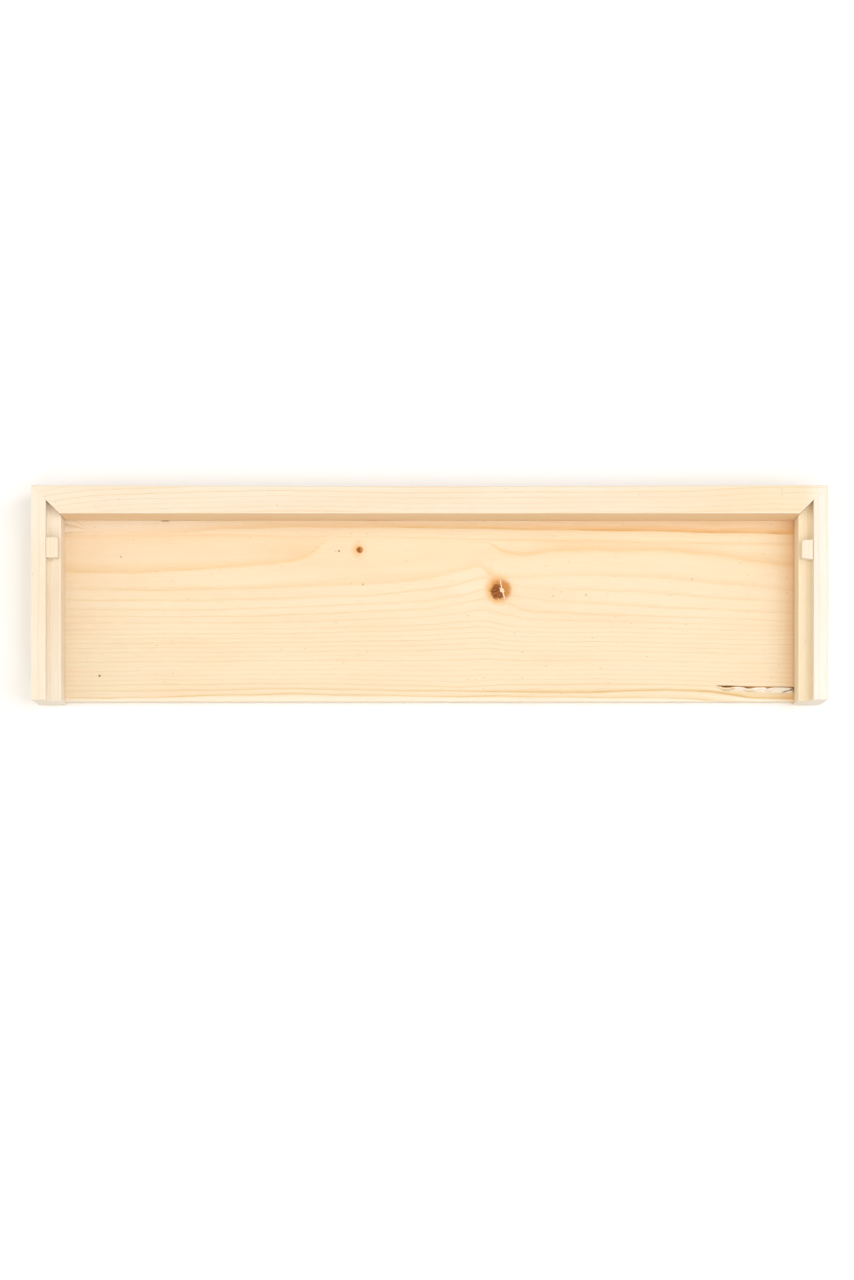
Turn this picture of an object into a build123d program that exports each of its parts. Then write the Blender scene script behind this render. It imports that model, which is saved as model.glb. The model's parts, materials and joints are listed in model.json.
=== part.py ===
from build123d import *
import os

# An open-fronted wooden tray from a beehive: a thin floor board held inside a three-sided rim.
# The rim is mitred at its two back corners. A rebate runs along the inner top edge of each
# side rail, and a small stop block stands in each rebate.
# Frame: +X along the length, the open front faces -Y, +Z up. The origin is on the underside,
# at the middle of the length and of the depth. Every size is in millimetres.

# Overall size
LENGTH = 505.0  # the outside length of a standard hive body, 19 7/8 in
DEPTH = 136.0  # front ends of the side rails to the back of the rim
BOARD_THICKNESS = 9.5
RIM_RISE = 30.0  # rim above the board's top face
HEIGHT = BOARD_THICKNESS + RIM_RISE

# Rails, all planed from one stock width
RAIL_WIDTH = 18.0
REBATE_WIDTH = 8.6
REBATE_DEPTH = 8.5
RAIL_ARRIS = 0.6  # eased long edges

# Floor board, set back a little behind the front ends of the side rails
BOARD_SETBACK = 1.5
BOARD_ARRIS = 0.5

# Stop blocks, cut by hand: (side, outer edge back, outer edge front, inner edge back,
# inner edge front, gap behind, width). Each edge is a distance in front of the back rail.
BLOCK_HEIGHT = REBATE_DEPTH
BLOCK_ARRIS = 0.4
BLOCK_CUTS = {
    "left_stop_block": (-1, 14.9, 27.9, 14.9, 27.7, 0.2, 7.5),
    "right_stop_block": (1, 16.4, 29.1, 16.9, 28.1, 0.8, 6.6),
}

# Round wire nails with flat heads, driven flush from the outside faces
SHANK_RADIUS = 0.9
HEAD_RADIUS = 2.0
HEAD_THICKNESS = 0.8
NAIL_LENGTH = 35.0
NAIL_POINT = 0.6
BOARD_NAIL_HEIGHT = BOARD_THICKNESS / 2
BACK_NAIL_COUNT = 5
BACK_NAIL_PITCH = 100.0
SIDE_NAIL_COUNT = 3
SIDE_NAIL_PITCH = 36.0
CORNER_NAIL_HEIGHTS = (12.0, 28.0)
CORNER_NAIL_INSET = 5.0  # from the outer face of the side rail

# Derived places
HALF_LENGTH = LENGTH / 2
HALF_DEPTH = DEPTH / 2
INNER_X = HALF_LENGTH - RAIL_WIDTH
BACK_INNER_Y = HALF_DEPTH - RAIL_WIDTH
BOARD_FRONT_Y = -HALF_DEPTH + BOARD_SETBACK
BOARD_DEPTH = BACK_INNER_Y - BOARD_FRONT_Y
BOARD_MIDDLE_Y = (BACK_INNER_Y + BOARD_FRONT_Y) / 2
STEP_X = INNER_X + REBATE_WIDTH
LEDGE_Z = HEIGHT - REBATE_DEPTH

os.makedirs("parts", exist_ok=True)


def outer_face(side):
    """Plane on the outside of a side rail, looking into the wood, with local y up."""
    return Plane(origin=(side * HALF_LENGTH, 0, 0), x_dir=(0, -side, 0), z_dir=(-side, 0, 0))


def mitre(side):
    """Vertical 45 degree plane through a back corner; its normal points into the back rail."""
    return Plane(origin=(side * HALF_LENGTH, HALF_DEPTH, 0), x_dir=(0, 0, 1), z_dir=(-side, 1, 0))


def nail_group(face, spots):
    """Nails driven square to a face at the given spots, with their heads flush with it."""
    with BuildPart() as group:
        with BuildSketch(face):
            with Locations(*spots):
                Circle(SHANK_RADIUS)
        extrude(amount=NAIL_LENGTH)
        points = group.edges().filter_by(GeomType.CIRCLE).group_by(Axis(face.origin, face.z_dir))[-1]
        chamfer(points, length=NAIL_POINT)
        with BuildSketch(face):
            with Locations(*spots):
                Circle(HEAD_RADIUS)
        extrude(amount=HEAD_THICKNESS)
    return group.part


def nail_row(count, pitch, middle):
    """Evenly spaced spots along a face, at the height of the board's edge."""
    start = middle - pitch * (count - 1) / 2
    return [(start + pitch * step, BOARD_NAIL_HEIGHT) for step in range(count)]


# Nails: the back row and the two side rows hold the board, the corner pairs hold the mitres
BACK_FACE = Plane.XZ.offset(-HALF_DEPTH)
nails = {"back_board_nails": nail_group(BACK_FACE, nail_row(BACK_NAIL_COUNT, BACK_NAIL_PITCH, 0))}
for side, name in ((-1, "left"), (1, "right")):
    side_row = nail_row(SIDE_NAIL_COUNT, SIDE_NAIL_PITCH, -side * BOARD_MIDDLE_Y)
    nails[f"{name}_board_nails"] = nail_group(outer_face(side), side_row)
    corner_x = side * (HALF_LENGTH - CORNER_NAIL_INSET)
    corner_pair = [(corner_x, height) for height in CORNER_NAIL_HEIGHTS]
    nails[f"{name}_corner_nails"] = nail_group(BACK_FACE, corner_pair)

for name, group in nails.items():
    group.label = name
    export_step(group, f"parts/{name}.step")

# Floor board, butted between the rails and flush with their undersides
with BuildPart() as base_board:
    with BuildSketch():
        with Locations((0, BOARD_MIDDLE_Y)):
            Rectangle(2 * INNER_X, BOARD_DEPTH)
    extrude(amount=BOARD_THICKNESS)
    fillet(base_board.edges().filter_by(Axis.X).group_by(Axis.Y)[0], radius=BOARD_ARRIS)
    for row in ("back_board_nails", "left_board_nails", "right_board_nails"):
        add(nails[row], mode=Mode.SUBTRACT)
base_board.part.label = "base_board"
export_step(base_board.part, "parts/base_board.step")

# Back rail: full section all along, mitred at both ends
with BuildPart() as back_rail:
    with BuildSketch(Plane.YZ.offset(-HALF_LENGTH)) as section:
        with Locations((HALF_DEPTH - RAIL_WIDTH / 2, HEIGHT / 2)):
            Rectangle(RAIL_WIDTH, HEIGHT)
        fillet(section.vertices(), radius=RAIL_ARRIS)
    extrude(amount=LENGTH)
    for side in (-1, 1):
        split(bisect_by=mitre(side), keep=Keep.TOP)
    for row in ("back_board_nails", "left_corner_nails", "right_corner_nails"):
        add(nails[row], mode=Mode.SUBTRACT)
back_rail.part.label = "back_rail"
export_step(back_rail.part, "parts/back_rail.step")

# Side rails: rebated along the inner top edge, mitred at the back, cut square at the front.
# Every long edge is eased but the sharp inside corner of the rebate.
for side, name in ((-1, "left"), (1, "right")):
    with BuildPart() as side_rail:
        with BuildSketch(Plane.XZ.offset(-HALF_DEPTH)) as section:
            with BuildLine():
                Polyline(
                    (side * HALF_LENGTH, 0),
                    (side * INNER_X, 0),
                    (side * INNER_X, LEDGE_Z),
                    (side * STEP_X, LEDGE_Z),
                    (side * STEP_X, HEIGHT),
                    (side * HALF_LENGTH, HEIGHT),
                    close=True,
                )
            make_face()
            corners = section.vertices().sort_by_distance((side * STEP_X, LEDGE_Z))
            fillet(corners[1:], radius=RAIL_ARRIS)
        extrude(amount=DEPTH)
        split(bisect_by=mitre(side), keep=Keep.BOTTOM)
        for row in (f"{name}_board_nails", f"{name}_corner_nails"):
            add(nails[row], mode=Mode.SUBTRACT)
    side_rail.part.label = f"{name}_rail"
    export_step(side_rail.part, f"parts/{name}_rail.step")

# Stop blocks: offcuts glued on the ledge, close to the wall of the rebate
for name, cut in BLOCK_CUTS.items():
    side, outer_back, outer_front, inner_back, inner_front, gap, width = cut
    outer_x = side * (STEP_X - gap)
    inner_x = side * (STEP_X - gap - width)
    with BuildPart() as stop_block:
        with BuildSketch(Plane.XY.offset(LEDGE_Z)):
            with BuildLine():
                Polyline(
                    (outer_x, BACK_INNER_Y - outer_back),
                    (outer_x, BACK_INNER_Y - outer_front),
                    (inner_x, BACK_INNER_Y - inner_front),
                    (inner_x, BACK_INNER_Y - inner_back),
                    close=True,
                )
            make_face()
        extrude(amount=BLOCK_HEIGHT)
        chamfer(stop_block.faces().sort_by(Axis.Z)[-1].edges(), length=BLOCK_ARRIS)
    stop_block.part.label = name
    export_step(stop_block.part, f"parts/{name}.step")
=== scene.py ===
"""Looks of an open-fronted wooden beehive tray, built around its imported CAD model.

Blender lengths are in metres. Grain, knots and marks are laid out in millimetres, and MM
converts them. +X runs along the length, the open front faces -Y, and +Z is up.
"""

import json
import math

import bmesh
import bpy
import numpy as np
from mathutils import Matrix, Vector, noise

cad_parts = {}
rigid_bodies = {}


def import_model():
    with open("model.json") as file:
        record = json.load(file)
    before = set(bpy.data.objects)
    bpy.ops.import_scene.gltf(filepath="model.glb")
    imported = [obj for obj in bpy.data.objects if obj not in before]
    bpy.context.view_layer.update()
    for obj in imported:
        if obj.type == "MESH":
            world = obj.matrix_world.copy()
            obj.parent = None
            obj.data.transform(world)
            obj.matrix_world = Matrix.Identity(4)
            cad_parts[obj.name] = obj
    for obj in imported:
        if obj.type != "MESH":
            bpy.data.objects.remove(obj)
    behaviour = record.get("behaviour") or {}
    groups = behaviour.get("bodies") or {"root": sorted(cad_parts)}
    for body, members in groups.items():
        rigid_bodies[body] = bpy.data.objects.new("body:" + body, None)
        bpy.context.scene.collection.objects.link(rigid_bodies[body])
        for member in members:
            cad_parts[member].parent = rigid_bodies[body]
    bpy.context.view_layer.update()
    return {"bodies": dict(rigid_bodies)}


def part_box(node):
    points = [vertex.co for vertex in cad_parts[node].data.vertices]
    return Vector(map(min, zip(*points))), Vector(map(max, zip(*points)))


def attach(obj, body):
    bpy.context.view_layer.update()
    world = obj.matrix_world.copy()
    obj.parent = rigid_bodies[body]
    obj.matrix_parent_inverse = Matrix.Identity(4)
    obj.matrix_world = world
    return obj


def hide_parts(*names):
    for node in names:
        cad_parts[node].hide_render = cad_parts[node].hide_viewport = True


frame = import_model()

MM = 0.001
BODY = next(iter(frame["bodies"]))

# Places from the CAD model
BOARD_LOW, BOARD_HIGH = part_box("base_board")
BACK_LOW, BACK_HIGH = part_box("back_rail")
SIDE_LOW, SIDE_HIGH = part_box("left_rail")
BLOCK_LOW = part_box("left_stop_block")[0]
RIM_TOP = BACK_HIGH.z
BOARD_TOP = BOARD_HIGH.z
LEDGE = BLOCK_LOW.z

# Joinery
BLOCK_GAP = 0.2 * MM  # between the top of the left stop block and the wall of the rebate
STEP = -BLOCK_LOW.x + BLOCK_GAP
RAIL_ARRIS = 0.8 * MM
FRONT_ARRIS = 0.5 * MM
BOARD_ARRIS = 0.7 * MM
BLOCK_ARRIS = 0.45 * MM
LEAN_DEPTH = 0.9 * MM  # how far down the outer side of a block leans back to the rebate's wall
JOINT_ARRIS = 0.15 * MM
BACK_BOW = 0.7 * MM  # the back face hollows a little towards the middle of its length
UNEVEN = 0.06 * MM  # planed faces wander by this much
UNEVEN_RUN = 34 * MM  # and change over about this distance


# ---------------------------------------------------------------- shader graphs

class Graph:
    """A material's node tree, with a short call for each kind of node that it needs."""

    def __init__(self, name):
        self.material = bpy.data.materials.new(name)
        self.material.use_nodes = True
        self.tree = self.material.node_tree
        self.shader = self.tree.nodes["Principled BSDF"]

    def node(self, kind, inputs=None, **settings):
        made = self.tree.nodes.new("ShaderNode" + kind)
        for key, value in settings.items():
            setattr(made, key, value)
        for key, value in (inputs or {}).items():
            self.feed(made.inputs[key], value)
        return made

    def feed(self, socket, value):
        if isinstance(value, bpy.types.NodeSocket):
            self.tree.links.new(value, socket)
        else:
            socket.default_value = value

    def math(self, operation, a, b=0.0):
        return self.node("Math", {0: a, 1: b}, operation=operation).outputs[0]

    def plus(self, a, b):
        return self.math("ADD", a, b)

    def minus(self, a, b):
        return self.math("SUBTRACT", a, b)

    def times(self, a, b):
        return self.math("MULTIPLY", a, b)

    def size(self, a):
        return self.math("ABSOLUTE", a)

    def step(self, value, low, high, to_low=0.0, to_high=1.0):
        """Smooth step of a value from low to high, which may run downwards."""
        inputs = {"Value": value, "From Min": low, "From Max": high}
        inputs.update({"To Min": to_low, "To Max": to_high})
        return self.node("MapRange", inputs, interpolation_type="SMOOTHSTEP").outputs[0]

    def curve(self, value, points):
        """Straight runs through points (value, result), none of them below zero."""
        places, results = np.array(points, float).T
        tallest = results.max()
        share = self.times(self.minus(value, places[0]), 1 / (places[-1] - places[0]))
        made = self.node("FloatCurve", {"Value": share})
        line = made.mapping.curves[0]
        while len(line.points) < len(points):
            line.points.new(0.5, 0.5)
        for point, place, result in zip(line.points, places, results):
            point.location = (place - places[0]) / (places[-1] - places[0]), result / tallest
            point.handle_type = "VECTOR"
        made.mapping.update()
        return self.times(made.outputs[0], tallest)

    def vector(self, operation, a, b):
        return self.node("VectorMath", {0: a, 1: b}, operation=operation)

    def scaled(self, a, factors):
        return self.vector("MULTIPLY", a, factors).outputs[0]

    def noise(self, place, detail=2.0, roughness=0.5):
        inputs = {"Vector": place, "Scale": 1.0, "Detail": detail, "Roughness": roughness}
        return self.node("TexNoise", inputs).outputs[0]

    def mix(self, factor, a, b, blend="MIX"):
        inputs = {0: factor, 6: a, 7: b}
        return self.node("Mix", inputs, data_type="RGBA", blend_type=blend).outputs[2]

    def attribute(self, name):
        return self.node("Attribute", attribute_name=name).outputs["Fac"]

    def split(self, a):
        return self.node("SeparateXYZ", {0: a}).outputs

    def join(self, x, y, z):
        return self.node("CombineXYZ", {0: x, 1: y, 2: z}).outputs[0]


# ---------------------------------------------------------------- softwood

BOARD_EARLYWOOD = (0.838, 0.702, 0.502, 1)
RAIL_EARLYWOOD = (0.850, 0.740, 0.580, 1)
LATEWOOD = (0.725, 0.500, 0.200, 1)
# Deep latewood; also the colour of the painted shadow line at the board's right end
DEEP_LATEWOOD_AND_SHADOW = (0.620, 0.345, 0.120, 1)
WARM = (0.830, 0.475, 0.225, 1)
# Sapwood, and a painted highlight on the outer top of the right rail and the right end of the back rail
SAPWOOD_AND_HIGHLIGHT = (0.865, 0.830, 0.745, 1)
# Painted warm shade for the back rail's inner face
BACK_FACE_PAINTED_SHADE = (0.905, 0.705, 0.485, 1)
FLECK = (0.500, 0.310, 0.130, 1)
# Paler arrises: partly wear, partly painted highlight
WEAR_AND_HIGHLIGHT = (0.900, 0.815, 0.695, 1)
PALE = (0.890, 0.790, 0.640, 1)
CREAM = (0.865, 0.775, 0.640, 1)
YELLOW = (0.845, 0.722, 0.512, 1)
SWEEP_FADE = 40.0  # distance over which swung grain straightens out


def grain_space(g, along):
    """Object coordinates in millimetres, turned so that the grain runs along the first axis."""
    here = g.node("TexCoord").outputs["Object"]
    x, y, z = g.split(g.scaled(here, (1 / MM,) * 3))
    return g.join(x, y, z) if along == "X" else g.join(y, x, z)


def rings_round_pith(g, place, pith, gap, sweep):
    """Ring number in straight-grown wood, whose pith runs nearly along the grain.

    sweep is how many millimetres the grain has swung across by the piece's left end.
    """
    sway = g.noise(g.scaled(place, (1 / 150, 1 / 50, 1 / 50)), detail=1.0)
    x, y, z = g.split(place)
    swung = g.math("EXPONENT", g.times(g.minus(x, BACK_LOW.x / MM), -1 / SWEEP_FADE))
    across = g.plus(g.plus(y, g.times(swung, sweep)), g.times(g.minus(sway, 0.5), 8.0))
    flat = g.join(0.0, g.minus(across, pith[0]), g.minus(z, pith[1]))
    length = g.node("VectorMath", {0: flat}, operation="LENGTH").outputs["Value"]
    return g.times(length, 1 / gap)


def softwood(g, place, early, ring, gap, depth, spread, seed):
    """Colour, height and fibre of planed softwood.

    ring is the ring number at each place, gap the distance between rings in millimetres,
    depth how dark their lines are and spread how wide.
    """
    place = g.vector("ADD", place, (seed * 31.7, seed * 17.3, seed * 7.9)).outputs[0]
    waver = g.noise(g.scaled(place, (1 / 22, 1 / 5, 1 / 5)))
    ring = g.plus(ring, g.math("DIVIDE", g.times(g.minus(waver, 0.5), 0.7), gap))
    number = g.math("ROUND", ring)
    offset = g.times(g.minus(ring, number), gap)

    # Latewood builds up slowly on one side of its line and stops short on the other
    slow = g.times(g.math("MINIMUM", g.times(gap, 0.14), 1.0), spread)
    short = g.math("MINIMUM", g.times(gap, 0.07), 0.35)
    short = g.times(short, g.math("POWER", spread, 0.5))
    before = g.math("LESS_THAN", offset, 0.0)
    width = g.plus(short, g.times(before, g.minus(slow, short)))
    reach = g.math("DIVIDE", g.size(offset), width)
    line = g.math("EXPONENT", g.times(g.math("POWER", reach, 1.5), -1.0))
    numbered = g.node("TexWhiteNoise", {"W": g.plus(number, seed)}, noise_dimensions="1D")
    uneven = g.noise(g.scaled(place, (1 / 40, 1 / 9, 1 / 9)))
    each = g.times(g.plus(g.times(numbered.outputs["Value"], 0.7), 0.55), g.plus(uneven, 0.45))
    line = g.times(g.times(line, depth), each)

    # Fine bands inside each ring
    band = g.math("SINE", g.plus(g.times(ring, 18.8), g.times(waver, 9.0)))
    line = g.plus(line, g.times(g.plus(band, 0.3), g.times(depth, 0.07)))
    colour = g.mix(line, early, LATEWOOD)
    colour = g.mix(g.step(line, 0.55, 1.1, 0.0, 0.7), colour, DEEP_LATEWOOD_AND_SHADOW)

    cloud = g.noise(g.scaled(place, (1 / 95, 1 / 17, 1 / 17)), detail=3.0)
    colour = g.mix(g.step(cloud, 0.35, 0.75, 0.0, 0.16), colour, WARM)
    fibre = g.noise(g.scaled(place, (1 / 11, 1 / 0.42, 1 / 0.42)), detail=4.0, roughness=0.65)
    shade = g.step(fibre, 0.25, 0.75, 0.950, 1.035)
    colour = g.mix(1.0, colour, g.join(shade, shade, shade), "MULTIPLY")

    # Short brown dashes where resin canals are cut open
    cells = {"Vector": g.scaled(place, (1 / 5.0, 1 / 2.8, 1 / 2.8)), "Scale": 1.0}
    dashes = g.node("TexVoronoi", cells)
    rare = g.step(g.split(dashes.outputs["Color"])[0], 0.90, 0.93)
    fleck = g.times(rare, g.step(dashes.outputs["Distance"], 0.20, 0.05, 0.0, 0.45))
    colour = g.mix(fleck, colour, FLECK)

    height = g.plus(g.times(fibre, 0.5), g.times(line, 0.35))
    return colour, g.minus(height, g.times(fleck, 0.6)), fibre


def finish_wood(g, colour, height, fibre):
    """Adds the paler edges, partly wear and partly painted highlight along the arrises, the roughness
    and the bump, and closes the material.
    """
    # Arrises paled: wear and painted highlight
    colour = g.mix(g.times(g.attribute("arris"), 0.55), colour, WEAR_AND_HIGHLIGHT)
    g.feed(g.shader.inputs["Base Color"], colour)
    g.feed(g.shader.inputs["Roughness"], g.step(fibre, 0.2, 0.8, 0.64, 0.52))
    g.shader.inputs["Specular IOR Level"].default_value = 0.25
    bump = g.node("Bump", {"Strength": 0.35, "Distance": 0.10 * MM, "Height": height})
    g.feed(g.shader.inputs["Normal"], bump.outputs[0])
    return g.material


def rail_wood(name, along, pith, gap, depth, seed, sweep=0.0, early=RAIL_EARLYWOOD, bands=()):
    """Straight-grained softwood.

    Each band is (axis, start, full, colour), with axis 0 along the grain and 1 across it.
    """
    g = Graph(name)
    place = grain_space(g, along)
    ring = rings_round_pith(g, place, pith, gap, sweep)
    for axis, start, full, band in bands:
        early = g.mix(g.step(g.split(place)[axis], start, full), early, band)
    return finish_wood(g, *softwood(g, place, early, ring, gap, depth, spread=1.0, seed=seed))


# ---------------------------------------------------------------- the board's figure

# Where the rings of the board's face run: ring number, then points (x, y) in millimetres.
# Ring 3 climbs up to ring 2 on the left and leaves it again on the right. Rings 4 to 9 are
# swept back beside the large knot.
RINGS = {
    -4: ((-235, 75), (235, 70)),
    0: ((-235, 59), (235, 57)),
    1: ((-235, 41.3), (-165, 41.6), (-132, 44.3), (-86, 45.8), (68, 44.5), (235, 41.3)),
    2: ((-235, 40.9), (-141, 41.2), (-36, 38.7), (38, 37.5), (235, 34.5)),
    3: ((-235, 16.8), (-190, 16.6), (-132, 19.9), (-101, 22.2), (-86, 24.4), (-78, 27.2),
        (-73, 31), (-70, 35.6), (-66, 38.8), (-36, 38.3), (30, 37.2), (38, 36.6), (47, 30.2),
        (54, 28.4), (61, 27.5), (79, 30.6), (106, 31.8), (122, 30.4), (149, 31.6), (161, 30.7),
        (187, 27.4), (213, 23.6), (235, 21.1)),
    4: ((-235, 5.6), (-177, 4.8), (-116, 5.9), (-71, 8.1), (-25, 9.9), (0, 13.1), (28, 19.6),
        (31, 20.6), (34.5, 19.7), (36.8, 17), (38.5, 13.3), (47, 12.6), (101, 15.1), (160, 12.3),
        (182, 9.7), (235, 5.2)),
    5: ((-235, -1.2), (-146, -1.6), (-40, 1.4), (0, 5.1), (15, 7.8), (28, 11.7), (36, 13.4),
        (42, 12), (52, 9), (68, 6.2), (134, 4.4), (168, 1.4), (235, -2.8)),
    6: ((-235, -7.4), (-162, -8.1), (-101, -6.5), (-40, -3.9), (0, -1.7), (26, 2.9), (34, 6),
        (45, 5.5), (56, 1.1), (76, -1.9), (152, -6.2), (235, -10)),
    7: ((-235, -12), (-101, -11.4), (0, -7), (25, -2.8), (33, -0.8), (53, -4.4), (58, -7.4),
        (68, -9.4), (92, -9.7), (235, -15)),
    9: ((-235, -20.6), (-71, -19.3), (0, -17.6), (30, -14.7), (39, -15), (47, -17.6),
        (58, -18.8), (129, -19.2), (235, -21)),
    21: ((-235, -56.4), (-86, -54.9), (23, -56.7), (45, -55.7), (137, -55.2), (184, -56.6),
         (235, -57.5)),
    22: ((-235, -60.2), (-86, -58.3), (76, -61), (106, -60.5), (152, -58.7), (182, -60.5),
         (205, -64), (235, -64.8)),
    23: ((-235, -63.6), (-207, -64.4), (-86, -61.6), (23, -63.6), (46, -62.8), (172, -65),
         (182, -66.6), (235, -69)),
    24: ((-235, -67.4), (0, -66.6), (150, -68), (235, -73)),
    34: ((-235, -100), (235, -104)),
}
# How dark a ring's line is at the left end and at the right end; the other rings are FAINT
LINE_DEPTHS = {1: (0.4, 2.2), 2: (0.35, 0.55), 3: (0.45, 0.42), 4: (0.45, 0.32), 5: (0.45, 0.32),
               9: (0.5, 0.6), 21: (0.65, 0.6), 22: (0.4, 0.85), 23: (0.9, 0.85)}
FAINT = 0.40
JOINED = (-68.0, 38.0)  # ring 3 fades where it runs along ring 2
RING_TILT = 0.9  # how far rings shift across the board for each unit of depth
LEAST_GAP = 0.3  # between neighbouring rings
FRONT_PALE = (-62.0, -64.6)  # the wood turns pale towards the front edge
CORNER_BLUR = ((-2.2, 0.2), (-1.1, 0.25), (0.0, 0.1), (1.1, 0.25), (2.2, 0.2))
WANDER = ((0.045, 1.7), (0.021, 2.9), (0.11, 4.3))  # (pace, turn from ring to ring)
WANDER_REACH = 0.16


def ring_course(number, x):
    """How far back a ring's line lies at x, with its corners rounded off."""
    places, heights = np.array(RINGS[number], float).T
    course = sum(share * np.interp(x + reach, places, heights) for reach, share in CORNER_BLUR)
    return course + sum(WANDER_REACH * np.sin(pace * x + turn * number) for pace, turn in WANDER)


def ramp(value, low, high):
    return np.clip((value - low) / (high - low), 0, 1)


def board_figure(x, y, z):
    """Ring number and gap, line depth and spread, warmth and paleness, at points in mm; warmth includes
    painted shade at the right end.
    """
    across = y + RING_TILT * (z - BOARD_TOP / MM)
    numbers = sorted(RINGS)
    courses = [ring_course(number, x) for number in numbers]
    for k in range(1, len(courses)):
        courses[k] = np.minimum(courses[k], courses[k - 1] - LEAST_GAP)

    def ring_at(level):
        found = np.zeros(len(x))
        for k in range(len(numbers) - 1):
            share = (courses[k] - level) / (courses[k] - courses[k + 1])
            between = numbers[k] + share * (numbers[k + 1] - numbers[k])
            found = np.where((share >= 0) & (share < 1), between, found)
        return found

    ring = ring_at(across)
    reach = 0.35
    gap = 2 * reach / np.maximum(ring_at(across - reach) - ring_at(across + reach), 0.12)
    rightward = ramp(x, -235, 235)
    depth = np.full(len(x), FAINT)
    for number, (left, right) in LINE_DEPTHS.items():
        depth = np.where(np.round(ring) == number, left + (right - left) * rightward, depth)
    fill = (ring > 2) * (ring < 3) * ramp(x, 62, 88) * ramp(x, 205, 150)
    third = np.round(ring) == 3
    joined = ramp(x, JOINED[0] - 4, JOINED[0] + 4) * ramp(x, JOINED[1] + 4, JOINED[1] - 4)
    depth = np.where(third, depth * (1 - 0.8 * joined) * (1 - 0.3 * fill), depth)
    spread = np.where(third, 1.0 + 1.8 * ramp(x, 30, 100), 1.0)
    spread = np.where(np.round(ring) >= 22, 1.5 + 1.1 * rightward, spread)

    # The grain is calm to the right of the large knot
    beside_x, beside_y = x - BIG_KNOT["at"][0], across - BIG_KNOT["at"][1]
    calm = np.exp(-(((beside_x - 28) / 24) ** 2) - (beside_y / 11) ** 2)
    depth = depth * (1 - 0.55 * calm)

    # Pale wood: left of the large knot, along the front edge, and behind ring 1 at the left
    pale = 0.45 * np.exp(-(((beside_x + 21) / 11) ** 2) - ((beside_y + 1) / 8) ** 2)
    pale = np.maximum(pale, 0.90 * ramp(across, FRONT_PALE[0], FRONT_PALE[1]))
    above_first = across - courses[numbers.index(1)]
    pale = np.maximum(pale, 0.75 * ramp(above_first, 0, 0.8) * ramp(x, -110, -180))

    # Warm wood: behind ring 1, towards the right but less so at its end
    warmth = ramp(above_first, 0, 0.8) * 0.24 * rightward
    warmth += ramp(above_first, 0, 0.4) * np.exp(-above_first / 2.2) * 0.50 * rightward
    warmth *= 1 - 0.35 * ramp(x, 185, 215)

    # Then between rings 2 and 3, behind ring 4, and by the large knot; at the right end it is painted
    # shade
    warmth += fill * (0.27 + 0.08 * (ring - 2))
    warmth += 0.08 * ramp(ring, 4.3, 3.3)
    # Painted shade: warmer, darker wood towards the right end, where the right rail shades the board
    warmth += 0.30 * ramp(x, 223, 231)
    in_tongue = (ring > 2) * (ring < 3)
    warmth += 0.10 * in_tongue * ramp(x, 0, -80)
    warmth += 0.22 * in_tongue * np.exp(-(((x + 84) / 22) ** 2) - ((across - 31) / 6.5) ** 2)
    warmth += 0.35 * np.exp(-(((beside_x + 6.5) / 3) ** 2) - ((beside_y - 10) / 4.5) ** 2)
    return {"ring": ring, "gap": gap, "depth": depth, "spread": spread, "warmth": warmth,
            "pale": pale}


# ---------------------------------------------------------------- knots, marks and torn grain

# heart, rim and halo are radii; the dark heart lies off the middle of the rim
BIG_KNOT = {"at": (45.6, 5.5), "heart_at": (43.9, 4.4), "heart": 4.9, "rim": 7.6, "halo": 11.6,
            "glow": 1.0, "seed": 1.0}
SMALL_KNOT = {"at": (-45.0, 31.2), "heart_at": (-44.9, 31.3), "heart": 1.8, "rim": 2.6,
              "halo": 7.0, "glow": 0.75, "seed": 5.0}
KNOT_RISE = 0.15
KNOT_HALO = (0.800, 0.470, 0.200, 1)
KNOT_RIM = (0.560, 0.235, 0.055, 1)
KNOT_HEART = (0.200, 0.050, 0.005, 1)
CHIP = (0.950, 0.680, 0.470, 1)

# Small dark marks: x, y, radius, darkness
MARKS = (
    (-212.3, -49.9, 1.0, 0.95),
    (-198.6, 26.6, 0.9, 0.45),
    (-42.9, 8.9, 0.9, 0.45),
    (-58.3, 30.4, 0.9, 0.80),
    (-60.3, 30.1, 0.7, 0.35),
    (168.8, 12.3, 0.8, 0.40),
    (100.6, 2.2, 0.9, 0.35),
    (79.4, 1.5, 0.8, 0.30),
)
MARK = (0.240, 0.090, 0.030, 1)
SLIT_X, SLIT_REACH = -170.0, 3.4  # a resin-filled slit along the back edge

# A pitch pocket torn open at the front right: its upper edge falls slowly to the right, and
# the widths of the dark pitch and of the pale torn wood are given below that edge
POCKET_START = 184.0
POCKET_EDGE, POCKET_FALL = -56.4, 0.020
PITCH_WIDTH = ((184, 0.5), (187, 1.1), (189, 2.4), (193, 2.3), (196, 1.0), (201, 1.2),
               (204, 2.9), (207, 2.8), (211, 1.5), (215.5, 1.4), (217.5, 2.6), (219.5, 2.0),
               (222, 1.1), (228, 0.9), (233, 0.9), (234, 2.8))
PITCH_SHADE = ((184, 0.9), (195, 1.0), (199, 0.5), (204, 0.75), (208, 0.45), (214, 0.25),
               (217, 0.5), (221, 0.55), (226, 0.9), (235, 1.0))
TORN_WIDTH = ((184, 0.0), (193, 0.2), (197, 2.8), (203, 3.4), (215, 3.6), (226, 4.0), (235, 4.2))
STREAK_START, STREAK_Y, STREAK_RISE = 226.5, -61.0, 0.22  # an olive streak at the right end
PITCH_DEPTH, TORN_DEPTH = 1.8, 1.0
PITCH = (0.170, 0.055, 0.012, 1)
AMBER = (0.690, 0.380, 0.115, 1)
TORN = (0.890, 0.830, 0.730, 1)
OLIVE = (0.200, 0.130, 0.050, 1)

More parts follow.
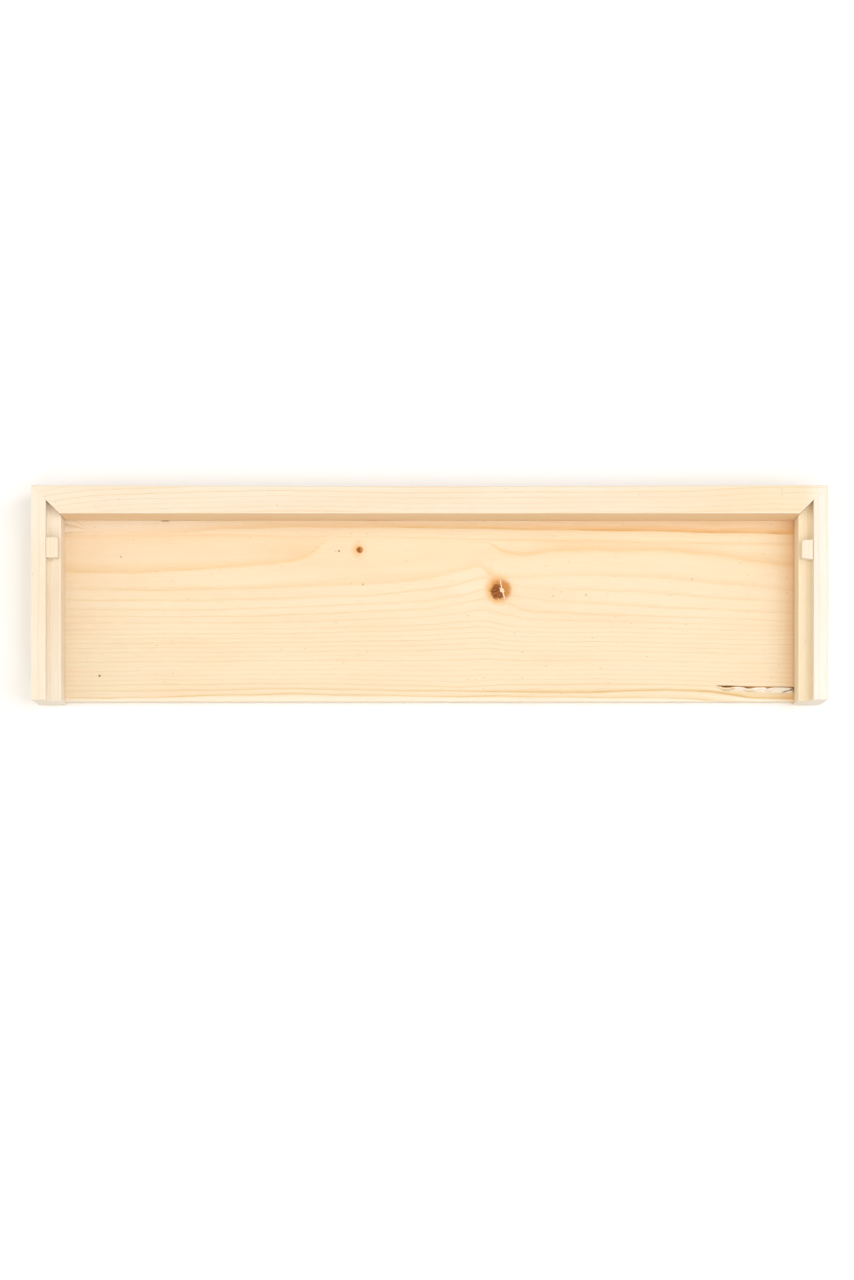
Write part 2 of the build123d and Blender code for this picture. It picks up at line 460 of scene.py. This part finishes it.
# A fan of lifted fibres in the back left corner
FAN_TIP = (-219.5, 43.6)
FAN_PACE = 8.4  # how quickly its furrows follow each other, by spoke
FAN_CURVE = 0.75  # spokes leave the tip steeply and level out
FAN_SPREAD = (0.45, 0.98, 0.80)  # middle, reach and full reach of the spokes
FAN_DEPTH = 0.45
FAN_PALE = (0.890, 0.760, 0.590, 1)
# Painted shade for the fan's sunken furrows
FAN_SHADE = (0.640, 0.380, 0.150, 1)


def board_relief(x, y):
    """How far the board's face is sunk at each point, in millimetres; below zero is raised."""
    below = POCKET_EDGE - POCKET_FALL * (x - POCKET_START) - y
    pitch = np.interp(x, *np.array(PITCH_WIDTH, float).T)
    torn = np.interp(x, *np.array(TORN_WIDTH, float).T)
    inside = ramp(x, POCKET_START, POCKET_START + 2) * ramp(below, -0.2, 0.3)
    ragged = 0.7 + 0.3 * np.sin(1.9 * x + 1.3 * y) * np.sin(0.8 * x - 2.1 * y)
    sunk = inside * PITCH_DEPTH * ramp(pitch + 0.5 - below, 0, 0.8)
    sunk = np.maximum(sunk, inside * TORN_DEPTH * ragged * ramp(torn - below, -0.2, 1.0))
    for knot in (BIG_KNOT, SMALL_KNOT):
        out = np.hypot(x - knot["at"][0], y - knot["at"][1])
        sunk = sunk - KNOT_RISE * ramp(out, knot["rim"] * 1.1, knot["heart"])
    spoke = (y - FAN_TIP[1]) / np.maximum(FAN_TIP[0] - x, 0.5) ** FAN_CURVE - FAN_SPREAD[0]
    fan = ramp(x, FAN_TIP[0], FAN_TIP[0] - 3) * ramp(np.abs(spoke), *FAN_SPREAD[1:])
    return sunk + FAN_DEPTH * fan * (0.5 + 0.5 * np.cos(FAN_PACE * spoke))


def paint_knot(g, flat, place, colour, at, heart_at, heart, rim, halo, glow, seed):
    """Paints a round knot over the grain; gives the colour and how far out each place is."""
    pace = 1.6 / heart
    moved = g.vector("ADD", g.scaled(place, (pace, pace, pace)), (seed, 0, 0)).outputs[0]
    ragged = g.minus(g.noise(moved, detail=4.0, roughness=0.6), 0.5)
    out = g.vector("DISTANCE", flat, (*at, 0)).outputs["Value"]
    out = g.plus(out, g.times(ragged, 0.45 * heart))
    leftward = g.step(g.minus(g.split(flat)[0], at[0]), rim * 0.8, -rim * 0.8)
    shine = g.times(g.step(out, halo, rim * 0.97), g.plus(g.times(leftward, 0.75), 0.25))
    colour = g.mix(g.times(shine, glow), colour, KNOT_HALO)
    colour = g.mix(g.step(out, rim * 1.12, rim * 0.62), colour, KNOT_RIM)
    inner = g.vector("DISTANCE", flat, (*heart_at, 0)).outputs["Value"]
    inner = g.plus(inner, g.times(ragged, 1.1 * heart))
    mottled = g.step(g.noise(g.scaled(moved, (2.5, 2.5, 2.5))), 0.35, 0.60, 0.55, 1.0)
    dark = g.times(g.step(inner, heart * 1.10, heart * 0.80), mottled)
    # The heart is darkest to the left of a line that leans to the right towards its front
    past = g.minus(g.split(flat)[0], at[0] + heart * 0.15)
    low = g.times(g.math("MAXIMUM", g.minus(at[1], g.split(flat)[1]), 0.0), 0.34)
    dark = g.times(dark, g.step(g.minus(past, low), heart * 0.16, -heart * 0.06, 0.25, 1.0))
    return g.mix(dark, colour, KNOT_HEART), out


def paint_knot_crack(g, x, across, place, out, colour, height):
    """The drying crack down the large knot, pale where its edge has chipped away."""
    beside = g.minus(x, BIG_KNOT["at"][0])
    above = g.minus(across, BIG_KNOT["at"][1])
    bend = g.times(g.math("MAXIMUM", g.times(above, -1.0), 0.0), 0.19)
    bend = g.plus(g.plus(bend, g.times(above, -0.15)), 0.8)
    kinked = g.times(g.minus(g.noise(g.scaled(place, (1.3, 1.3, 1.3)), detail=3.0), 0.5), 1.6)
    off = g.size(g.plus(g.minus(beside, bend), kinked))
    chip = g.step(g.size(g.plus(above, 0.1)), 1.8, 0.9, 0.0, 0.9)
    width = g.plus(chip, 0.42)
    crack = g.step(g.minus(off, width), 0.15, -0.20)
    crack = g.times(crack, g.step(out, 7.0, 6.0))
    colour = g.mix(g.times(crack, 0.9), colour, CHIP)
    return colour, g.minus(height, g.times(crack, 1.5))


def paint_pocket(g, x, across, place, fibre, colour, height):
    """The torn pitch pocket: pale lifted wood under an edge of dark pitch."""
    edge = g.plus(g.times(g.minus(x, POCKET_START), -POCKET_FALL), POCKET_EDGE)
    rough = g.minus(g.noise(g.scaled(place, (0.5, 0.8, 0.8)), detail=4.0), 0.5)
    below = g.plus(g.minus(edge, across), g.times(rough, 0.9))
    inside = g.times(g.step(x, POCKET_START, POCKET_START + 2), g.step(below, -0.15, 0.15))
    torn = g.step(g.minus(g.curve(x, TORN_WIDTH), below), -0.3, 0.5)
    torn = g.times(g.times(torn, inside), g.step(fibre, 0.25, 0.6, 0.6, 1.0))
    colour = g.mix(torn, colour, TORN)
    pitch = g.times(g.step(g.minus(g.curve(x, PITCH_WIDTH), below), -0.2, 0.35), inside)
    colour = g.mix(pitch, colour, AMBER)
    colour = g.mix(g.times(pitch, g.curve(x, PITCH_SHADE)), colour, PITCH)
    streak_y = g.plus(g.times(g.minus(x, STREAK_START), STREAK_RISE), STREAK_Y)
    streak = g.step(g.plus(g.size(g.minus(across, streak_y)), g.times(rough, 0.4)), 0.60, 0.25)
    streak = g.times(streak, g.step(x, STREAK_START - 1, STREAK_START + 2))
    colour = g.mix(g.times(streak, 0.8), colour, OLIVE)
    return colour, g.plus(height, g.times(torn, g.times(rough, 3.0)))


def paint_marks_and_end_shadow(g, x, across, flat, colour):
    """Pin knots, resin dots, the slit along the back edge and a painted shadow line at the right end,
    where the board meets the right rail.
    """
    for mark_x, mark_y, radius, darkness in MARKS:
        off = g.vector("DISTANCE", flat, (mark_x, mark_y, 0)).outputs["Value"]
        colour = g.mix(g.step(off, radius, radius * 0.4, 0.0, darkness), colour, MARK)
    ends = g.step(g.size(g.minus(x, SLIT_X)), SLIT_REACH, SLIT_REACH * 0.4)
    slit = g.times(ends, g.step(across, BOARD_HIGH.y / MM - 1.0, BOARD_HIGH.y / MM - 0.4))
    colour = g.mix(g.times(slit, 0.7), colour, PITCH)
    end = BOARD_HIGH.x / MM
    # Painted shadow: a dark line along the board's right end, where it meets the right rail
    return g.mix(g.step(x, end - 2.0, end - 0.3, 0.0, 0.35), colour, DEEP_LATEWOOD_AND_SHADOW)


def paint_fan(g, x, across, fibre, colour):
    """The fan of lifted fibres in the back left corner, with painted shade in its sunken furrows."""
    run = g.math("MAXIMUM", g.minus(FAN_TIP[0], x), 0.5)
    spoke = g.math("DIVIDE", g.minus(across, FAN_TIP[1]), g.math("POWER", run, FAN_CURVE))
    spoke = g.minus(spoke, FAN_SPREAD[0])
    within = g.step(g.size(spoke), *FAN_SPREAD[1:])
    within = g.times(within, g.step(run, 0.6, 3.0))
    furrow = g.plus(g.times(g.math("COSINE", g.times(spoke, FAN_PACE)), 0.5), 0.5)
    colour = g.mix(g.times(within, g.step(fibre, 0.3, 0.6, 0.6, 1.0)), colour, FAN_PALE)
    # FAN_SHADE is painted shade in the sunken furrows
    return g.mix(g.times(g.times(within, g.math("POWER", furrow, 3.0)), 0.5), colour, FAN_SHADE)


def board_wood():
    g = Graph("board_wood")
    place = grain_space(g, "X")
    figure = [g.attribute(name) for name in ("ring", "gap", "depth", "spread")]
    early = g.mix(g.attribute("pale"), BOARD_EARLYWOOD, PALE)
    colour, height, fibre = softwood(g, place, early, *figure, seed=3.0)
    # warmth is warm wood, and painted shade at the board's right end
    colour = g.mix(g.attribute("warmth"), colour, WARM)
    x, y, z = g.split(place)
    across = g.plus(y, g.times(g.minus(z, BOARD_TOP / MM), RING_TILT))
    flat = g.join(x, across, 0.0)
    colour, out = paint_knot(g, flat, place, colour, **SMALL_KNOT)
    colour, out = paint_knot(g, flat, place, colour, **BIG_KNOT)
    colour, height = paint_knot_crack(g, x, across, place, out, colour, height)
    colour, height = paint_pocket(g, x, across, place, fibre, colour, height)
    colour = paint_fan(g, x, across, fibre, colour)
    colour = paint_marks_and_end_shadow(g, x, across, flat, colour)
    return finish_wood(g, colour, height, fibre)


# ---------------------------------------------------------------- steel

def nail_steel():
    """Drawn wire with a dull grey skin and a few brown spots."""
    g = Graph("nail_steel")
    place = g.scaled(g.node("TexCoord").outputs["Object"], (1 / MM,) * 3)
    grain = g.noise(g.scaled(place, (3.0, 3.0, 3.0)), detail=3.0)
    spots = g.step(g.noise(g.scaled(place, (0.9, 0.9, 0.9)), detail=2.0), 0.62, 0.74)
    shade = g.step(grain, 0.3, 0.7, 0.30, 0.46)
    colour = g.mix(g.times(spots, 0.6), g.join(shade, shade, shade), (0.16, 0.075, 0.035, 1))
    g.feed(g.shader.inputs["Base Color"], colour)
    g.feed(g.shader.inputs["Roughness"], g.step(grain, 0.3, 0.7, 0.34, 0.52))
    g.shader.inputs["Metallic"].default_value = 1.0
    bump = g.node("Bump", {"Strength": 0.3, "Distance": 0.05 * MM, "Height": grain})
    g.feed(g.shader.inputs["Normal"], bump.outputs[0])
    return g.material


# ---------------------------------------------------------------- meshes

HOLD = 0.4 * MM  # a row this close to each arris keeps the shading of the flats flat
ARRIS_STEPS = 4


def along_edge(length, pitch):
    """Distances of the rows between the two arrises of a flat."""
    if length < 3 * HOLD:
        return np.array([])
    count = max(1, round((length - 2 * HOLD) / pitch))
    return np.linspace(HOLD, length - HOLD, count + 1)


def rounded_outline(corners, pitch):
    """Closed outline through corners (x, y, radius), with how strongly each point is paled for wear and
    painted highlight.
    """
    points, wear_and_highlight = [], []
    for k, (x, y, radius) in enumerate(corners):
        here = Vector((x, y))
        before = Vector(corners[k - 1][:2])
        after_corner = corners[(k + 1) % len(corners)]
        after = Vector(after_corner[:2])
        onward = (after - here).normalized()
        start = here + (before - here).normalized() * radius
        end = here + onward * radius
        for turn in np.linspace(0, 1, ARRIS_STEPS + 1):
            points.append((1 - turn) ** 2 * start + 2 * turn * (1 - turn) * here + turn ** 2 * end)
            wear_and_highlight.append(math.sin(math.pi * (0.1 + 0.8 * turn)) if radius > JOINT_ARRIS else 0.0)
        run = (after - here).length - radius - after_corner[2]
        for distance in along_edge(run, pitch):
            points.append(end + onward * distance)
            wear_and_highlight.append(0.0)
    return np.array([tuple(point) for point in points]), np.array(wear_and_highlight)


def inward(outline):
    """Unit normals of an anticlockwise closed outline, pointing into it."""
    run = np.roll(outline, -1, axis=0) - np.roll(outline, 1, axis=0)
    run /= np.linalg.norm(run, axis=1)[:, None]
    return np.stack([-run[:, 1], run[:, 0]], axis=1)


def loft(name, outline, wear_and_highlight, low, high, low_arris, high_arris, rows, place):
    """A bar with eased ends: its outline swept from low to high.

    low and high hold where the bar ends at each point of the outline, rows the distances
    between its two end arrises as shares, and place(outline, along) gives the points.
    """
    normals = inward(outline)
    sections, rows_wear_and_highlight = [], []

    def add(inset, along, edge):
        sections.append(place(outline + normals * inset, along))
        rows_wear_and_highlight.append(np.maximum(wear_and_highlight, edge))

    turns = np.linspace(0, math.pi / 2, ARRIS_STEPS)
    for turn in turns:
        inset = low_arris * (1 - math.sin(turn))
        add(inset, low + low_arris * (1 - math.cos(turn)), math.cos(turn) * (low_arris > JOINT_ARRIS))
    for row in rows:
        add(0.0, low + low_arris + (high - low - low_arris - high_arris) * row, 0.0)
    for turn in turns[::-1]:
        inset = high_arris * (1 - math.sin(turn))
        add(inset, high - high_arris * (1 - math.cos(turn)), math.cos(turn) * (high_arris > JOINT_ARRIS))
    return skin(name, np.array(sections), np.array(rows_wear_and_highlight))


def skin(name, sections, rows_wear_and_highlight):
    """A closed mesh over rows of points, with a flat cap at each end."""
    rows, around = sections.shape[:2]
    faces = []
    for row in range(rows - 1):
        near, far = row * around, (row + 1) * around
        for k in range(around):
            following = (k + 1) % around
            faces.append((near + k, near + following, far + following, far + k))
    last = (rows - 1) * around
    caps = [tuple(range(around - 1, -1, -1)), tuple(range(last, last + around))]
    mesh = bpy.data.meshes.new(name)
    mesh.from_pydata(sections.reshape(-1, 3).tolist(), [], faces + caps)
    mesh.polygons.foreach_set("use_smooth", [True] * len(faces) + [False] * len(caps))
    give(mesh, "arris", rows_wear_and_highlight.reshape(-1))
    work = bmesh.new()
    work.from_mesh(mesh)
    if work.calc_volume(signed=True) < 0:
        bmesh.ops.reverse_faces(work, faces=work.faces)
    work.to_mesh(mesh)
    work.free()
    piece = bpy.data.objects.new(name, mesh)
    bpy.context.scene.collection.objects.link(piece)
    return piece


def give(mesh, name, values):
    attribute = mesh.attributes.new(name, "FLOAT", "POINT")
    attribute.data.foreach_set("value", np.asarray(values, np.float32))


def points_of(mesh):
    flat = np.empty(len(mesh.vertices) * 3, np.float32)
    mesh.vertices.foreach_get("co", flat)
    return flat.reshape(-1, 3).astype(float)


def move_points(mesh, points):
    mesh.vertices.foreach_set("co", points.astype(np.float32).reshape(-1))
    mesh.update()


def plane_unevenly(piece, seed):
    """Gives a piece the slow unevenness of hand-fed planing."""
    points = points_of(piece.data)
    for point in points:
        at = Vector(point) / UNEVEN_RUN + Vector((seed, 2.0 * seed, 0.0))
        point += np.array(noise.noise_vector(at)) * UNEVEN
    move_points(piece.data, points)


def fit_out(piece, material, node):
    piece.data.materials.append(material)
    piece.data.set_sharp_from_angle(angle=math.radians(40))
    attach(piece, BODY)
    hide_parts(node)


def even_rows(length, pitch):
    return along_edge(length, pitch) / length


# ---------------------------------------------------------------- pieces

def back_bow(x):
    return BACK_BOW * (1 - (x / BACK_HIGH.x) ** 2)


def make_back_rail():
    low, high = BACK_LOW, BACK_HIGH
    corners = [(low.y, low.z, RAIL_ARRIS), (high.y, low.z, RAIL_ARRIS),
               (high.y, high.z, RAIL_ARRIS), (low.y, high.z, RAIL_ARRIS)]
    outline, wear_and_highlight = rounded_outline(corners, 2.5 * MM)
    reach = high.x - (high.y - outline[:, 0])  # mitred at 45 degrees

    def place(section, along):
        backward = (section[:, 0] - low.y) / (high.y - low.y)
        return np.stack([along, section[:, 0] - back_bow(along) * backward, section[:, 1]], axis=1)

    rows = even_rows(high.x - low.x, 4 * MM)
    piece = loft("rim_back", outline, wear_and_highlight, -reach, reach, JOINT_ARRIS, JOINT_ARRIS, rows, place)
    plane_unevenly(piece, 1.0)
    inner = low.y / MM
    # Paler towards the right end: sapwood and painted highlight
    bands = [(0, 110, 210, BOARD_EARLYWOOD), (0, 234, 252, SAPWOOD_AND_HIGHLIGHT),
             # Painted warm shade on the back rail's inner face, which faces the open front
             (1, inner + 1.6, inner + 0.2, BACK_FACE_PAINTED_SHADE)]
    wood = rail_wood("back_rail_wood", "X", pith=(150, -60), gap=2.3, depth=0.42, seed=1.0,
                     sweep=10.0, bands=bands)
    fit_out(piece, wood, "back_rail")


def make_side_rail(name, node, side, pith, seed, early, bands):
    inner, outer = BOARD_HIGH.x, BACK_HIGH.x
    corners = [(inner, 0.0, RAIL_ARRIS), (outer, 0.0, RAIL_ARRIS), (outer, RIM_TOP, RAIL_ARRIS),
               (STEP, RIM_TOP, RAIL_ARRIS), (STEP, LEDGE, 0.05 * MM), (inner, LEDGE, RAIL_ARRIS)]
    outline, wear_and_highlight = rounded_outline(corners, 2.5 * MM)
    front = np.full(len(outline), SIDE_LOW.y)
    back = SIDE_HIGH.y - (outer - outline[:, 0])

    def place(section, along):
        return np.stack([side * section[:, 0], along, section[:, 1]], axis=1)

    rows = even_rows(SIDE_HIGH.y - SIDE_LOW.y, 3 * MM)
    piece = loft(name, outline, wear_and_highlight, front, back, FRONT_ARRIS, JOINT_ARRIS, rows, place)
    plane_unevenly(piece, seed)
    wood = rail_wood(node + "_wood", "Y", pith, gap=3.4, depth=0.22, seed=seed, early=early,
                     bands=bands)
    fit_out(piece, wood, node)


def make_board():
    low, high = BOARD_LOW, BOARD_HIGH
    corners = [(low.y, low.z, BOARD_ARRIS), (high.y, low.z, JOINT_ARRIS),
               (high.y, high.z, JOINT_ARRIS), (low.y, high.z, BOARD_ARRIS)]
    outline, wear_and_highlight = rounded_outline(corners, 0.8 * MM)
    ends = np.full(len(outline), high.x)

    # Rows lie closer together over the knots, the pocket and the fan
    length = high.x - low.x
    close = [(BIG_KNOT["at"][0], 9.0), (SMALL_KNOT["at"][0], 5.0), (210.0, 28.0), (-226.0, 9.0)]
    rows, x = [], low.x / MM + HOLD / MM
    while x < high.x / MM - HOLD / MM:
        rows.append((x * MM - low.x) / length)
        x += 0.8 if any(abs(x - middle) < reach for middle, reach in close) else 2.4

    def place(section, along):
        return np.stack([along, section[:, 0], section[:, 1]], axis=1)

    piece = loft("floor_board", outline, wear_and_highlight, -ends, ends, JOINT_ARRIS, JOINT_ARRIS, rows, place)
    points = points_of(piece.data)
    for name, values in board_figure(*(points / MM).T).items():
        give(piece.data, name, values)
    on_face = points[:, 2] > high.z - 1e-6
    points[on_face, 2] -= board_relief(*(points[on_face, :2] / MM).T) * MM
    move_points(piece.data, points)
    plane_unevenly(piece, 4.0)
    fit_out(piece, board_wood(), "base_board")


def make_stop_block(name, node, back_skew, front_skew, pith, seed, early):
    """A short offcut; its inner edge is shorter than its outer edge by the two skews.

    Its outer side leans towards the wall of the rebate, so the gap nearly closes downwards.
    """
    low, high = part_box(node)
    side = math.copysign(1, low.x)
    inner, outer = sorted((low.x, high.x), key=abs)
    wall = side * (STEP - BLOCK_GAP / 2)
    corners = [(inner, low.z, BLOCK_ARRIS), (wall, low.z, BLOCK_ARRIS),
               (wall, high.z - LEAN_DEPTH, 0.1 * MM), (outer, high.z, 0.2 * MM),
               (inner, high.z, 2 * BLOCK_ARRIS)]
    outline, wear_and_highlight = rounded_outline(corners[::int(side)], 1.2 * MM)
    inward_share = np.clip((abs(outer) - np.abs(outline[:, 0])) / (high.x - low.x), 0, 1)
    front = low.y + front_skew * inward_share
    back = high.y - back_skew * inward_share

    def place(section, along):
        return np.stack([section[:, 0], along, section[:, 1]], axis=1)

    rows = even_rows(high.y - low.y, 1.2 * MM)
    arris = BLOCK_ARRIS * 0.9
    piece = loft(name, outline, wear_and_highlight, front, back, arris, arris, rows, place)
    wood = rail_wood(node + "_wood", "Y", pith, gap=2.2, depth=0.40, seed=seed, early=early)
    fit_out(piece, wood, node)


# Turned outline of a nail: (radius, depth under the wood's face)
NAIL_HEAD = ((0.0, -0.22), (0.8, -0.20), (1.4, -0.14), (1.8, -0.04), (1.98, 0.06), (2.0, 0.2),
             (2.0, 0.55), (1.7, 0.75), (1.05, 0.85), (0.9, 1.1))
HEAD_RADIUS = max(radius for radius, depth in NAIL_HEAD) * MM
NAIL_RADIUS, NAIL_POINT = 0.9 * MM, 2.2 * MM
NAIL_SIDES = 24


def add_nail(vertices, faces, head, inwards, length):
    """One wire nail turned about its axis, from the middle of its head."""
    sideways = Vector((0, 0, 1))
    other = inwards.cross(sideways)
    profile = [(radius * MM, depth * MM) for radius, depth in NAIL_HEAD]
    profile += [(NAIL_RADIUS, length * 0.5), (NAIL_RADIUS, length - NAIL_POINT), (0.0, length)]
    rows = []
    for radius, depth in profile:
        middle = head + inwards * depth
        sides = NAIL_SIDES if radius else 1
        rows.append(list(range(len(vertices), len(vertices) + sides)))
        for turn in np.arange(sides) * math.tau / sides:
            out = sideways * math.cos(turn) + other * math.sin(turn)
            vertices.append(middle + out * radius)
    for near, far in zip(rows, rows[1:]):
        for k in range(NAIL_SIDES):
            following = (k + 1) % NAIL_SIDES
            ring = [near[k % len(near)], near[following % len(near)],
                    far[following % len(far)], far[k % len(far)]]
            faces.append(tuple(dict.fromkeys(ring)))


def make_nails(node, inwards, count, upright, steel):
    """The nails of one CAD node, evenly spaced between the ends of its box."""
    low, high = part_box(node)
    driven = max(range(3), key=lambda axis: abs(inwards[axis]))
    spread = 2 if upright else 1 - driven
    middle = (low + high) / 2
    vertices, faces = [], []
    for place in np.linspace(low[spread] + HEAD_RADIUS, high[spread] - HEAD_RADIUS, count):
        head = middle.copy()
        head[spread] = place
        head[driven] = low[driven] if inwards[driven] > 0 else high[driven]
        if driven == 1:
            head.y -= back_bow(head.x)
        add_nail(vertices, faces, head, inwards, (high - low)[driven] - BACK_BOW)
    mesh = bpy.data.meshes.new(node)
    mesh.from_pydata([tuple(vertex) for vertex in vertices], [], faces)
    mesh.polygons.foreach_set("use_smooth", [True] * len(faces))
    piece = bpy.data.objects.new(node.replace("_nails", "_wire_nails"), mesh)
    bpy.context.scene.collection.objects.link(piece)
    fit_out(piece, steel, node)


# ---------------------------------------------------------------- camera, light and floor

CAMERA_AT = (-0.0017, -0.2359)
CAMERA_RISE = 1.850  # above the rim
CAMERA_LENS = 82.2
CAMERA_SHIFT = 0.2539


def make_camera():
    data = bpy.data.cameras.new("camera")
    data.lens = CAMERA_LENS
    data.shift_y = CAMERA_SHIFT
    data.clip_end = 30
    camera = bpy.data.objects.new("camera", data)
    camera.location = (*CAMERA_AT, RIM_TOP + CAMERA_RISE)
    bpy.context.scene.collection.objects.link(camera)
    bpy.context.scene.camera = camera


LIGHT_DISTANCE = 3.0


def soft_light(name, azimuth, elevation, size, level, colour):
    """A square soft box aimed at the tray; level is how bright it makes white that faces it."""
    data = bpy.data.lights.new(name, "AREA")
    data.size = size
    data.color = colour
    data.energy = level * math.pi ** 2 * LIGHT_DISTANCE ** 2
    light = bpy.data.objects.new(name, data)
    turn, rise = math.radians(azimuth), math.radians(elevation)
    out = Vector((math.cos(turn) * math.cos(rise), math.sin(turn) * math.cos(rise), math.sin(rise)))
    light.location = out * LIGHT_DISTANCE
    light.rotation_euler = out.to_track_quat("Z", "Y").to_euler()
    bpy.context.scene.collection.objects.link(light)


def make_studio():
    scene = bpy.context.scene
    scene.view_settings.view_transform = "Standard"
    world = bpy.data.worlds.new("studio")
    world.use_nodes = True
    background = world.node_tree.nodes["Background"]
    background.inputs["Color"].default_value = (1.0, 0.92, 0.79, 1)
    background.inputs["Strength"].default_value = 0.33
    scene.world = world

    # Azimuth and elevation in degrees, size in metres, level and colour
    soft_light("key", 0, 62, 2.1, 0.47, (1.0, 1.03, 1.11))
    soft_light("fill", 180, 62, 1.7, 0.17, (1.0, 1.0, 1.03))
    soft_light("side", 180, 30, 1.7, 0.25, (1.0, 0.97, 0.90))
    soft_light("low", 0, 28, 1.7, 0.12, (1.0, 0.96, 0.88))
    soft_light("front", 270, 55, 2.0, 0.23, (1.0, 0.98, 0.94))
    soft_light("back", 90, 62, 1.7, 0.06, (1.0, 1.0, 1.0))

    g = Graph("floor")
    g.shader.inputs["Base Color"].default_value = (0.95, 0.95, 0.95, 1)
    g.shader.inputs["Roughness"].default_value = 0.8
    half = 4.0
    mesh = bpy.data.meshes.new("floor")
    mesh.from_pydata([(-half, -half, 0), (half, -half, 0), (half, half, 0), (-half, half, 0)],
                     [], [(0, 1, 2, 3)])
    mesh.materials.append(g.material)
    floor = bpy.data.objects.new("floor", mesh)
    scene.collection.objects.link(floor)


# ---------------------------------------------------------------- assembly

noise.seed_set(1)  # planed faces wander the same way on every run
make_camera()
make_studio()
make_back_rail()
# The second CREAM band is painted light that lifts the shade at the back of the left rail
make_side_rail("rim_left", "left_rail", side=-1, pith=(-150, -70), seed=2.0, early=RAIL_EARLYWOOD,
               bands=[(0, 0, -65, CREAM), (0, 24, 46, CREAM)])
# The right rail's outer top is paler: sapwood and painted highlight
make_side_rail("rim_right", "right_rail", side=1, pith=(160, -60), seed=3.0, early=YELLOW,
               bands=[(1, 242, 244, SAPWOOD_AND_HIGHLIGHT)])
make_board()
make_stop_block("stop_left", "left_stop_block", back_skew=0.0, front_skew=0.2 * MM,
                pith=(-190, 20), seed=5.0, early=RAIL_EARLYWOOD)
make_stop_block("stop_right", "right_stop_block", back_skew=0.5 * MM, front_skew=1.0 * MM,
                pith=(190, 10), seed=6.0, early=CREAM)

STEEL = nail_steel()
make_nails("back_board_nails", Vector((0, -1, 0)), count=5, upright=False, steel=STEEL)
make_nails("left_board_nails", Vector((1, 0, 0)), count=3, upright=False, steel=STEEL)
make_nails("right_board_nails", Vector((-1, 0, 0)), count=3, upright=False, steel=STEEL)
make_nails("left_corner_nails", Vector((0, -1, 0)), count=2, upright=True, steel=STEEL)
make_nails("right_corner_nails", Vector((0, -1, 0)), count=2, upright=True, steel=STEEL)
